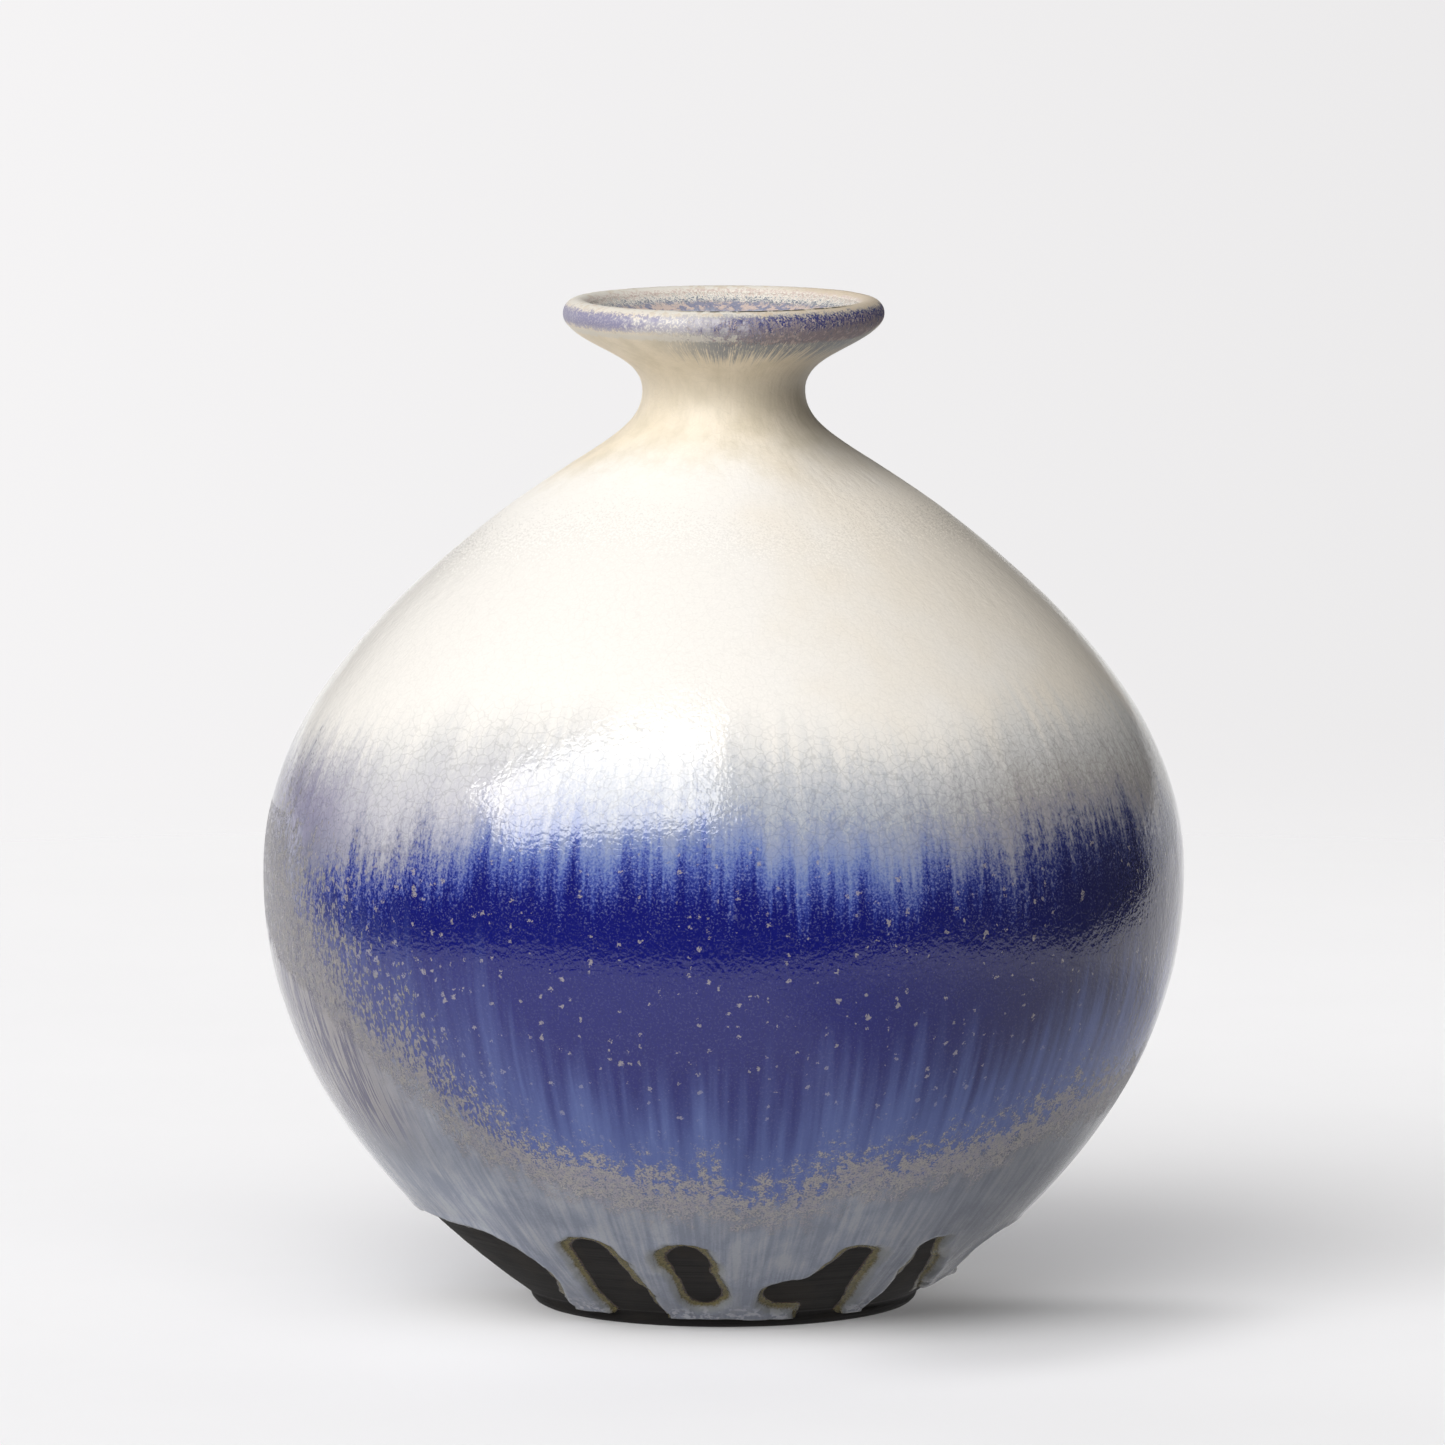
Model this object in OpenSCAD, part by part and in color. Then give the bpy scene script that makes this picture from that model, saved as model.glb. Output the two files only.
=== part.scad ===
// Thrown stoneware bottle vase: a wide round belly on a small foot, a narrow neck and a flared lip.
// Four clay sections are luted with slip, and five coats of glaze lie on the clay.

/* [Foot] */
// Outer radius of the foot where it meets the wall
foot_r = 48.2; // [44:0.1:52]
// Height of the rounded foot bevel
foot_h = 3; // [2:0.1:4]
// Inner radius of the foot ring, the edge of the recess underneath
recess_r = 33; // [25:0.5:38]
// Depth of the recess, which is also the height of the foot ring
recess_h = 4; // [3.6:0.1:5]

/* [Belly] */
// Clay radius at the widest line
belly_r = 112.9; // [106:0.1:120]
// Height of the widest line
belly_z = 107; // [100:0.5:114]
// Angle of the wall above the table as it leaves the foot
foot_angle = 35.5; // [30:0.5:42]
// How far the wall keeps the foot's angle
foot_pull = 54; // [48:0.5:60]
// How far the wall stays upright below the widest line
belly_pull_low = 37.5; // [32:0.5:42]
// How far the wall stays upright above the widest line
belly_pull_high = 26; // [22:0.5:32]

/* [Shoulder] */
// Clay radius at the shoulder's inflection
shoulder_r = 53.9; // [50:0.1:58]
// Height of the shoulder's inflection
shoulder_z = 196; // [192:0.5:200]
// Angle of the shoulder above the table at its inflection
shoulder_angle = 37.6; // [34:0.2:42]
// How far the shoulder keeps that angle downwards
shoulder_pull_low = 59; // [50:0.5:66]
// How far the shoulder keeps that angle upwards
shoulder_pull_high = 24.4; // [20:0.2:28]

/* [Neck and lip] */
// Clay radius at the waist of the neck
neck_r = 18.9; // [17:0.1:22]
// Height of the waist of the neck
neck_z = 227; // [224:0.5:229]
// How far the neck stays upright below its waist
neck_pull_low = 11.7; // [8:0.1:14]
// How far the neck stays upright above its waist
neck_pull_high = 9.9; // [7:0.1:11]
// Radius from the axis to the centre of the rounded rim
rim_centre_r = 36; // [33:0.1:39]
// Height of the centre of the rounded rim
rim_centre_z = 246.1; // [244:0.1:249]
// Radius of the clay rim's rounding
rim_round = 2.6; // [2.2:0.1:3.2]
// Angle below level at which the flare meets the rounded rim
rim_angle = 38.8; // [34:0.2:46]
// How far the flare keeps the rim's direction
rim_pull = 7.9; // [6:0.1:9]

/* [Walls] */
// Wall thickness at the foot
wall_foot = 8; // [6.5:0.1:9]
// Wall thickness at the widest line
wall_belly = 6; // [5:0.1:7]
// Wall thickness at the shoulder
wall_shoulder = 5; // [4.5:0.1:6]
// Wall thickness at the waist of the neck
wall_neck = 4.2; // [3.8:0.1:5]
// Thickness of the floor
floor_t = 8; // [6:0.1:10]

/* [Joints] */
// Height of the joint at the base of the neck
neck_joint_z = 211; // [208:0.5:213]
// Height of the step in a luted joint
joint_step = 2; // [1.5:0.1:2.5]
// Thickness of the slip in a luted joint
slip_t = 0.4; // [0.3:0.05:0.6]

/* [Glaze] */
// Thickness of the outer glaze
glaze_t = 1.2; // [0.8:0.1:1.5]
// Thickness of the glaze where it has run to the foot
run_t = 1.8; // [1.5:0.1:2.2]
// Thickness of the glaze inside
liner_t = 0.8; // [0.5:0.1:1]
// Height where the cobalt glaze gives way to the runs at the foot
foot_glaze_top = 48; // [40:1:60]
// Height where the cobalt glaze gives way to the cream glaze
cobalt_top = 125; // [115:1:135]
// Height where the cream glaze meets the lip's band
lip_glaze_z = 240; // [238:0.5:242]

/* [Hidden] */
$fn = 96;

// Clay windows left open between the glaze runs:
// azimuth from the front, low and high end, half width at the low and the high end, lean at the top.
// Azimuths and widths are in degrees, and a window whose low end is under the glaze edge is open.
WINDOWS = [
    [-69.0, -5, 25, 26, 26, 0],
    [-25.3, -5, 26, 6.0, 4.0, -0.5],
    [-6.0, 7, 25.5, 3.0, 3.6, -1.0],
    [21.5, 5, 24, 9.0, 5.0, 3.5],
    [44.3, -5, 24, 5.5, 1.6, 0],
    [80.0, -5, 22, 15, 11, 2.5],
    [118, 6, 22, 7, 5, 1],
    [146, -5, 25, 5, 3, -1],
    [172, 7, 20, 9, 7, 0],
    [204, -5, 24, 5, 3.5, 1],
    [234, 6, 22, 8, 6, -1.5]];
window_corner = 0.75;
window_near = 20;
window_far = 110;

clay_colour = "#3a3433";
slip_colour = "#5a504b";
liner_colour = "#9aa0b4";
cream_colour = "#d9d2bf";
cobalt_colour = "#2a2f8f";
lip_colour = "#7d7bab";
run_colour = "#8e97ad";

steps_belly = 26;
steps_shoulder = 26;
steps_neck = 14;
steps_flare = 14;
steps_rim = 14;
reach = 300;
sliver = 0.001;

// One cubic curve from a to d, leaving along b and arriving along c.
function cubic(a, b, c, d, t) =
    a * pow(1 - t, 3) + b * 3 * pow(1 - t, 2) * t + c * 3 * (1 - t) * t * t + d * pow(t, 3);
// Points of that curve, without its last one, so that curves chain.
function cubic_run(a, b, c, d, steps) = [for (i = [0:steps - 1]) cubic(a, b, c, d, i / steps)];
function polar(r, a) = [r * cos(a), r * sin(a)];
function mix(a, b, t) = a + (b - a) * t;
// Values that go evenly from a to b, again without the last one.
function ramp(a, b, steps) = [for (i = [0:steps - 1]) mix(a, b, i / steps)];
// Unit normal on the right-hand side of the way a path runs.
function side(path, i) =
    let (d = path[min(i + 1, len(path) - 1)] - path[max(i - 1, 0)])
    [d.y, -d.x] / norm(d);
// The path moved sideways by one distance per point.
function shifted(path, by) = [for (i = [0:len(path) - 1]) path[i] + by[i] * side(path, i)];
function reversed(list) = [for (i = [len(list) - 1:-1:0]) list[i]];
function part_of(list, first, last) = [for (i = [first:last]) list[i]];
// Index of the first point of a rising path that is at or above height z.
function index_at(path, z) = [for (i = [0:len(path) - 1]) if (path[i].y >= z - sliver) i][0];
// Radius of a rising path at height z.
function radius_at(path, z) = lookup(z, [for (p = path) [p.y, p.x]]);

foot_top = [foot_r, foot_h];
belly = [belly_r, belly_z];
shoulder = [shoulder_r, shoulder_z];
neck = [neck_r, neck_z];
rim_centre = [rim_centre_r, rim_centre_z];
flare_end = rim_centre + polar(rim_round, -rim_angle);
shoulder_way = polar(1, 180 - shoulder_angle);
rim_way = polar(1, 90 - rim_angle);

// Outer face of the clay from the top of the foot bevel to where the rim starts to round.
outer_clay = concat(
    cubic_run(foot_top, foot_top + polar(foot_pull, foot_angle),
        belly - [0, belly_pull_low], belly, steps_belly),
    cubic_run(belly, belly + [0, belly_pull_high],
        shoulder - shoulder_pull_low * shoulder_way, shoulder, steps_shoulder),
    cubic_run(shoulder, shoulder + shoulder_pull_high * shoulder_way,
        neck - [0, neck_pull_low], neck, steps_neck),
    cubic_run(neck, neck + [0, neck_pull_high],
        flare_end - rim_pull * rim_way, flare_end, steps_flare));
wall = concat(
    ramp(wall_foot, wall_belly, steps_belly),
    ramp(wall_belly, wall_shoulder, steps_shoulder),
    ramp(wall_shoulder, wall_neck, steps_neck),
    ramp(wall_neck, 2 * rim_round, steps_flare));

// Clay rim, and the inner face from the rim down to the edge of the floor.
rim_clay = [for (i = [0:steps_rim]) rim_centre + polar(rim_round, -rim_angle + 180 * i / steps_rim)];
underside_z = recess_h + slip_t / 2;
floor_z = underside_z + floor_t;
floor_corner = floor_z + 4;
inner_wall = [for (p = reversed(shifted(outer_clay, -wall))) if (p.y > floor_corner) p];
floor_edge = inner_wall[len(inner_wall) - 1].x;
floor_blend = [
    [floor_edge - 7, floor_z + 1],
    [floor_edge - 14, floor_z]];
inner_clay = concat(inner_wall, floor_blend, [[0, floor_z]]);

// The whole glazed face of the clay: up the outside, over the rim, down the inside to the axis.
clay_face = concat(outer_clay, rim_clay, inner_clay);
outer_count = len(outer_clay);
rim_count = len(rim_clay);
glaze_depth = concat(
    ramp(run_t, glaze_t, steps_belly),
    [for (i = [1:outer_count - steps_belly]) glaze_t],
    ramp(glaze_t, liner_t, rim_count),
    [for (i = [1:len(inner_clay)]) liner_t]);
glaze_raised = shifted(clay_face, glaze_depth);
axis_end = len(clay_face) - 1;
glaze_face = concat(part_of(glaze_raised, 0, axis_end - 1), [[0, floor_z + liner_t]]);

// Where one coat of glaze ends and the next starts, as places along the glazed face.
runs_end = index_at(outer_clay, foot_glaze_top);
cobalt_end = index_at(outer_clay, cobalt_top);
cream_end = index_at(outer_clay, lip_glaze_z);
rim_end = outer_count + rim_count;

foot_bevel = [for (a = [0:15:75]) [foot_r - foot_h, foot_h] + polar(foot_h, a - 90)];
belly_joint_r = belly_r - wall_belly / 2;
neck_joint_r = mix(radius_at(reversed(inner_wall), neck_joint_z),
    radius_at(outer_clay, neck_joint_z + joint_step), 0.5);

// Half section of the whole clay body.
module clay_section() {
    polygon(concat([[0, underside_z], [recess_r, underside_z], [recess_r, 0]], foot_bevel, clay_face));
}

// Everything below a stepped joint. The step rises on the inner side, and grow widens the region.
module below_joint(z, r, step, grow) {
    polygon([[-1, -1], [reach, -1], [reach, z + grow], [r + grow, z + grow],
        [r + grow, z + step + grow], [-1, z + step + grow]]);
}

// A clay section between two joints, each given as height, radius and step.
module clay_between(low, high) {
    rotate_extrude()
        intersection() {
            clay_section();
            difference() {
                below_joint(high[0], high[1], high[2], -slip_t / 2);
                below_joint(low[0], low[1], low[2], slip_t / 2);
            }
        }
}

// The slip that fills a joint.
module slip_between(joint) {
    rotate_extrude()
        intersection() {
            clay_section();
            difference() {
                below_joint(joint[0], joint[1], joint[2], slip_t / 2);
                below_joint(joint[0], joint[1], joint[2], -slip_t / 2);
            }
        }
}

// A coat of glaze on one stretch of the clay's face.
module coat(first, last) {
    rotate_extrude()
        polygon(concat(part_of(clay_face, first, last), reversed(part_of(glaze_face, first, last))));
}

function squared(v) = sign(v) * pow(abs(v), window_corner);
// Outline of a clay window, seen straight on, its corners rounded.
function window_outline(w) = [for (a = [0:15:345])
    let (
        up = squared(sin(a)),
        across = squared(cos(a)),
        z = mix(w[1], w[2], (up + 1) / 2),
        half = mix(w[3], w[4], (up + 1) / 2),
        turn = half * across + w[5] * up)
    [radius_at(outer_clay, z) * sin(turn), z]];

// Cutter for one clay window, pushed through the glaze from outside.
module window_cutter(w) {
    rotate([0, 0, w[0]])
        translate([0, -window_near, 0])
            rotate([90, 0, 0])
                linear_extrude(height = window_far - window_near)
                    polygon(window_outline(w));
}

foot_joint = [recess_h, 0, 0];
belly_joint = [belly_z, belly_joint_r, joint_step];
neck_joint = [neck_joint_z, neck_joint_r, joint_step];
ground = [-1, 0, 0];
sky = [reach, 0, 0];

module foot_ring() color(clay_colour) clay_between(ground, foot_joint);
module foot_slip_seam() color(slip_colour) slip_between(foot_joint);
module lower_bowl() color(clay_colour) clay_between(foot_joint, belly_joint);
module belly_slip_seam() color(slip_colour) slip_between(belly_joint);
module shoulder_dome() color(clay_colour) clay_between(belly_joint, neck_joint);
module neck_slip_seam() color(slip_colour) slip_between(neck_joint);
module neck_collar() color(clay_colour) clay_between(neck_joint, sky);
module liner_glaze() color(liner_colour) coat(rim_end, axis_end);
module lip_glaze() color(lip_colour) coat(cream_end, rim_end);
module cream_glaze() color(cream_colour) coat(cobalt_end, cream_end);
module cobalt_glaze() color(cobalt_colour) coat(runs_end, cobalt_end);
module foot_glaze() {
    color(run_colour)
        difference() {
            coat(0, runs_end);
            for (w = WINDOWS) window_cutter(w);
        }
}

foot_ring();
foot_slip_seam();
lower_bowl();
belly_slip_seam();
shoulder_dome();
neck_slip_seam();
neck_collar();
liner_glaze();
lip_glaze();
cream_glaze();
cobalt_glaze();
foot_glaze();
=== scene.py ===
"""Looks of a thrown stoneware bottle vase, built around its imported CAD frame.

The clay bodies and the coats of glaze are turned from the same section as the CAD solids, on a fine
grid, with the relief that throwing, turning and running glaze leave. Lengths are in millimetres until
a mesh is written; azimuth runs from the front of the vase towards +X.
"""

import math

import bpy
import numpy as np
from mathutils import Matrix, Vector


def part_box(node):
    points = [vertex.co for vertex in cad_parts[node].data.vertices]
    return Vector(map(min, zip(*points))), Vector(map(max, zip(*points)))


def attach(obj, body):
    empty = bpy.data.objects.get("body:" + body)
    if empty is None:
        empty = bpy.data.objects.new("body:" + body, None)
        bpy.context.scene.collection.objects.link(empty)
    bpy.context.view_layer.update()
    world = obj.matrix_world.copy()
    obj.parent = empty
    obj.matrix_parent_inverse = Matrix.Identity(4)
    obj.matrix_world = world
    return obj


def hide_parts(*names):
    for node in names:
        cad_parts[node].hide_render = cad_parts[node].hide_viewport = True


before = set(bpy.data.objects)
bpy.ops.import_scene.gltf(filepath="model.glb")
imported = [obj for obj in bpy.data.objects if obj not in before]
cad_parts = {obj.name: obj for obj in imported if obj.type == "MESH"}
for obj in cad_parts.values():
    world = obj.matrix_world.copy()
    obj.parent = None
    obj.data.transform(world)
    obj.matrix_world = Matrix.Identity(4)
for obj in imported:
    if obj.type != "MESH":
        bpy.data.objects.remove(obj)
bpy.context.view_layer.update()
MM = 0.001

# ---- section of the vase, as in the CAD
FOOT_TOP = np.array([48.2, 3.0])
BELLY = np.array([112.9, 107.0])
SHOULDER = np.array([53.9, 196.0])
NECK = np.array([18.9, 227.0])
RIM = np.array([36.0, 246.1])
RIM_ROUND = 2.6
RIM_ANGLE = 38.8
FOOT_H = 3.0
RECESS_R = 33.0
RECESS_H = 4.0
FLOOR_T = 8.0
SLIP_T = 0.4
JOINT_STEP = 2.0
BELLY_JOINT_R = 109.9


def polar(r, degrees):
    a = math.radians(degrees)
    return np.array([r * math.cos(a), r * math.sin(a)])


SHOULDER_WAY = polar(1, 180 - 37.6)
RIM_WAY = polar(1, 90 - RIM_ANGLE)
FLARE_END = RIM + polar(RIM_ROUND, -RIM_ANGLE)
# start, its handle, the end's handle, end, wall at both ends, glaze at both ends
CURVES = [
    (FOOT_TOP, FOOT_TOP + polar(54, 35.5), BELLY - [0, 37.5], BELLY, 8.0, 6.0, 1.8, 1.2),
    (BELLY, BELLY + [0, 26], SHOULDER - 59 * SHOULDER_WAY, SHOULDER, 6.0, 5.0, 1.2, 1.2),
    (SHOULDER, SHOULDER + 24.4 * SHOULDER_WAY, NECK - [0, 11.7], NECK, 5.0, 4.2, 1.2, 1.2),
    (NECK, NECK + [0, 9.9], FLARE_END - 7.9 * RIM_WAY, FLARE_END, 4.2, 5.2, 1.2, 1.2),
]


def dense_section():
    """Radius, height, normal, wall and glaze along the outside of the clay and over the rim."""
    rows = []
    for a, b, c, d, wall_a, wall_b, glaze_a, glaze_b in CURVES:
        t = np.linspace(0, 1, 500, endpoint=False)[:, None]
        p = a * (1 - t) ** 3 + 3 * b * t * (1 - t) ** 2 + 3 * c * t * t * (1 - t) + d * t**3
        v = (b - a) * (1 - t) ** 2 + 2 * (c - b) * t * (1 - t) + (d - c) * t * t
        v /= np.linalg.norm(v, axis=1)[:, None]
        wall = wall_a + (wall_b - wall_a) * t
        glaze = glaze_a + (glaze_b - glaze_a) * t
        rows.append(np.hstack([p, v[:, 1:2], -v[:, 0:1], wall, glaze]))
    t = np.linspace(0, 1, 300)[:, None]
    a = np.radians(-RIM_ANGLE + 180 * t)
    n = np.hstack([np.cos(a), np.sin(a)])
    rows.append(np.hstack([RIM + RIM_ROUND * n, n, 0 * t + 5.2, 1.2 - 0.4 * t]))
    rows = np.vstack(rows)
    s = np.concatenate([[0], np.cumsum(np.linalg.norm(np.diff(rows[:, :2], axis=0), axis=1))])
    return s, rows


S, SEC = dense_section()
OUTER = len(CURVES) * 500
FLARE_S = S[OUTER]
RIM_END_S = S[-1]


def at(s, column):
    return np.interp(s, S, SEC[:, column])


def s_of(z):
    """Arc length along the outside where the clay is at height z."""
    return np.interp(z, SEC[:OUTER, 1], S[:OUTER])


# ---- smooth noise on the vase's skin
def lattice(phi, v, cells, step, seed):
    """Smooth noise in -1..1, periodic round the vase: cells round it, one value per step along it."""
    values = np.random.default_rng(seed).uniform(-1, 1, (cells, 700))
    a = (phi / 360.0 % 1.0) * cells
    b = v / step + 20
    i, j = np.floor(a).astype(int), np.floor(b).astype(int)
    fa, fb = a - i, b - j
    fa, fb = fa * fa * (3 - 2 * fa), fb * fb * (3 - 2 * fb)
    i0, i1 = i % cells, (i + 1) % cells
    low = values[i0, j] * (1 - fa) + values[i1, j] * fa
    high = values[i0, j + 1] * (1 - fa) + values[i1, j + 1] * fa
    return low * (1 - fb) + high * fb


def smooth(x, low, high):
    t = np.clip((x - low) / (high - low), 0, 1)
    return t * t * (3 - 2 * t)


# ---- clay windows between the runs
# Each window is one or more strokes: azimuth, height and half width at one end, and at the other.
STROKES = [
    [(-57.5, 14.5, 14.0, -88, 14, 15.5), (-59, 2, 13.0, -88, 2, 14.5)],
    [(-27.2, 22.3, 3.6, -25.2, 9, 6.4), (-25.2, 9, 6.4, -23.6, -2, 7.8)],
    [(-7.4, 21.6, 3.7, -4.6, 10.2, 3.7)],
    [(27.6, 21.0, 3.0, 24.0, 11.5, 6.6), (24.0, 11.5, 6.6, 14.8, 10.6, 5.2), (26.2, 8, 6.0, 27.6, -1, 5.0)],
    [(44.6, 22.2, 1.3, 49.6, 10.5, 4.8), (49.6, 10.5, 4.8, 54.0, -2, 14.0)],
    [(74, 17, 6.0, 88, 15, 8.0), (73, 2, 10.0, 90, 2, 10.0)],
    [(118.5, 18, 4.0, 117.5, 10, 6.0)],
    [(145.4, 21, 2.4, 146.4, -2, 5.0)],
    [(170, 15.5, 4.5, 174, 12, 7.0)],
    [(204.6, 20, 2.6, 204, -2, 4.8)],
    [(233.6, 18, 4.4, 234.4, 11, 6.5)],
]
MEAN_R = 58.0


def window_distance(phi, s):
    """Distance in millimetres from the nearest window's edge, negative inside it."""
    shake = 0.5 * lattice(phi, s, 90, 4.5, 5) + 0.25 * lattice(phi, s, 220, 1.8, 6)
    best = np.full(phi.shape, 1e3)
    for strokes in STROKES:
        window = np.full(phi.shape, 1e3)
        for az0, z0, r0, az1, z1, r1 in strokes:
            s0 = s_of(max(z0, 3)) + min(z0 - 3, 0)
            s1 = s_of(max(z1, 3)) + min(z1 - 3, 0)
            u = np.radians((phi - az0 + 180) % 360 - 180) * MEAN_R
            du, dv = math.radians(az1 - az0) * MEAN_R, s1 - s0
            t = np.clip((u * du + (s - s0) * dv) / (du * du + dv * dv), 0, 1)
            d = np.hypot(u - t * du, s - s0 - t * dv) - (r0 + (r1 - r0) * t)
            k = 1.5
            h = np.clip(0.5 + 0.5 * (window - d) / k, 0, 1)
            window = window * (1 - h) + d * h - k * h * (1 - h)
        best = np.minimum(best, window)
    return best + shake


def foot_edge_distance(phi, s):
    """Distance from the glaze's lower edge just above the foot's bevel."""
    return s - 0.9 - 0.55 * lattice(phi, s * 0, 40, 1, 8) - 0.3 * lattice(phi, s * 0, 110, 1, 9)


def band_width(phi, s):
    """Width of the thin ochre band where the glaze draws back from a window."""
    w = 1.9 + 0.8 * lattice(phi, s, 60, 7, 11) + 0.35 * lattice(phi, s, 200, 2.4, 12)
    return np.clip(w, 0.8, 3.2)


def glaze_height(phi, s):
    """Thickness of the outer glaze over the clay, below zero where the clay is bare."""
    base = at(s, 5)
    top = smooth(s, S[0], s_of(60))
    z = at(s, 1)
    base = base + 0.05 * lattice(phi, s, 14, 22, 21) * smooth(s, 0, 60)
    base = base + 0.035 * lattice(phi, s, 150, 5, 22) + 0.018 * lattice(phi, s, 340, 2.2, 23)
    rings = np.sin(s / 5.1 + 0.5 * lattice(phi * 0, s, 3, 30, 24)) * 0.03
    base = base + rings * smooth(z, 30, 60)
    runs = lattice(phi, s, 64, 60, 25) + 0.6 * lattice(phi, s, 128, 40, 26)
    base = base + 0.10 * runs * (1 - top) * smooth(s, 0, 12)
    d = np.minimum(window_distance(phi, s), foot_edge_distance(phi, s) * 1.4)
    w = np.where(foot_edge_distance(phi, s) * 1.4 < window_distance(phi, s), 0.35, band_width(phi, s))
    low_part = s < s_of(34)
    thin = 0.10 + 0.20 * np.clip(d / w, 0, 1) + 0.05 * lattice(phi, s, 300, 1.2, 27)
    roll = 0.30 * np.exp(-(((d - w - 2.2) / 1.5) ** 2))
    body = (base + roll) * np.sqrt(np.clip((d - w) / 2.0, 0, 1) * (2 - np.clip((d - w) / 2.0, 0, 1)))
    h = np.maximum(np.where(d < w, thin, np.maximum(body, thin)), 0)
    h = np.where(d < 0.25, np.maximum(np.minimum(d * 1.1, h), -1.0), h)
    return np.where(low_part, h, base)


# ---- colour boundaries on the skin
# The cobalt lies between a low and a high line round the vase: azimuth, height.
LOW_LINE = [(-180, 47), (-152, 50), (-132, 66), (-112, 104), (-98, 121), (-88, 124), (-77, 120), (-67, 107),
            (-59.5, 93), (-53, 79), (-44.5, 69), (-37, 57), (-31, 48), (-16, 43), (6, 38.5), (15, 40),
            (19, 47), (27, 43.5), (36, 47.5), (52, 56), (72, 61), (100, 60), (128, 52), (155, 44), (180, 47)]
HIGH_LINE = [(-180, 124), (-150, 121), (-120, 117), (-90, 115), (-60, 118), (-47, 123), (-36, 127),
             (-29, 129), (-21, 128.5), (-9, 128), (0, 126), (9, 125), (16, 124), (29, 123), (38, 125),
             (51, 128.5), (66, 127), (95, 122), (125, 125), (155, 120), (180, 124)]


def line_height(line, phi):
    """Height of a boundary line at an azimuth, rounded over its corners."""
    az, z = np.array(line).T
    phi = (phi + 180) % 360 - 180
    return sum(np.interp((phi + d + 180) % 360 - 180, az, z) for d in (-3, -1, 1, 3)) / 4


def line_distance(line, phi, s):
    """Signed distance in millimetres to a boundary line, positive above it."""
    a = np.arange(-180, 180, 1.0)
    z = line_height(line, a)
    ls, lr = s_of(z), at(s_of(z), 0)
    best = np.full(phi.shape, 1e6)
    r = at(s, 0)
    for ak, sk, rk in zip(a, ls, lr):
        u = np.radians((phi - ak + 180) % 360 - 180) * 0.5 * (r + rk)
        best = np.minimum(best, u * u + (s - sk) ** 2)
    return np.sqrt(best) * np.sign(at(s, 1) - line_height(line, phi))


# ---- meshes
COLUMNS = 720
PHI = np.arange(COLUMNS) * 360.0 / COLUMNS - 180.0


def rows_between(s0, s1, step):
    """Arc lengths from s0 up to s1, both included, about step apart."""
    return np.linspace(s0, s1, max(2, int(round(abs(s1 - s0) / step)) + 1))


def ring(r, z, phi):
    """Points of one row at radius r and height z, which may vary round it."""
    a = np.radians(phi)
    return np.stack([r * np.sin(a), -r * np.cos(a), z + 0 * a], axis=-1)


def grid_points(s, h, phi=PHI):
    """Points h outside the clay for arc lengths s, one row each."""
    s = np.asarray(s)[:, None]
    return ring(at(s, 0) + h * at(s, 2), at(s, 1) + h * at(s, 3), phi[None, :])


def grid_normals(points):
    """Normals of a grid whose rows run up the vase and whose columns run round it."""
    along = np.gradient(points, axis=0)
    across = np.roll(points, -1, axis=1) - np.roll(points, 1, axis=1)
    n = np.cross(across, along)
    return n / np.maximum(np.linalg.norm(n, axis=2, keepdims=True), 1e-9)


def add_mesh(name, verts, faces, material, normals=None, floats=None, vectors=None):
    """A mesh object from points in millimetres, riding the one body."""
    mesh = bpy.data.meshes.new(name)
    mesh.from_pydata((verts * MM).tolist(), [], faces.tolist() if isinstance(faces, np.ndarray) else faces)
    mesh.polygons.foreach_set("use_smooth", np.ones(len(mesh.polygons), bool))
    for key, values in (floats or {}).items():
        layer = mesh.attributes.new(key, "FLOAT", "POINT")
        layer.data.foreach_set("value", np.asarray(values, np.float32).ravel())
    for key, values in (vectors or {}).items():
        layer = mesh.attributes.new(key, "FLOAT_VECTOR", "POINT")
        layer.data.foreach_set("vector", np.asarray(values, np.float32).ravel())
    mesh.validate()
    mesh.update()
    if normals is not None:
        mesh.normals_split_custom_set_from_vertices(normals.tolist())
    mesh.materials.append(material)
    obj = bpy.data.objects.new(name, mesh)
    bpy.context.scene.collection.objects.link(obj)
    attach(obj, "root")
    return obj


def quads_between(first, second, n):
    """Faces between two rows of n vertices that start at those indices."""
    k = np.arange(n)
    return np.stack([first + k, first + (k + 1) % n, second + (k + 1) % n, second + k], axis=1)


def closed_loop(grids, n):
    """Vertices and faces of rows that close on themselves, outside rows first and then the back."""
    verts = np.concatenate([g.reshape(-1, 3) for g in grids])
    count = len(verts) // n
    faces = [quads_between(i * n, (i + 1) % count * n, n) for i in range(count)]
    return verts, np.concatenate(faces)


def capped(rows, n):
    """Vertices and faces of a stack of rows whose first and last row close on the axis."""
    verts = np.concatenate([rows.reshape(-1, 3), [[0, 0, rows[0, 0, 2]], [0, 0, rows[-1, 0, 2]]]])
    count = len(rows)
    faces = [tuple(f) for i in range(count - 1) for f in quads_between(i * n, (i + 1) * n, n)]
    low, high = count * n, count * n + 1
    last = (count - 1) * n
    faces += [(low, (k + 1) % n, k) for k in range(n)]
    faces += [(high, last + k, last + (k + 1) % n) for k in range(n)]
    return verts, faces


# The coats meet where the CAD's coats meet.
s_runs = s_of(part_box("foot_glaze")[1][2] / MM)
s_cobalt = s_of(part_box("cream_glaze")[0][2] / MM)
s_cream = s_of(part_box("cream_glaze")[1][2] / MM)
s_fine = s_of(33.0)

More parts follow.
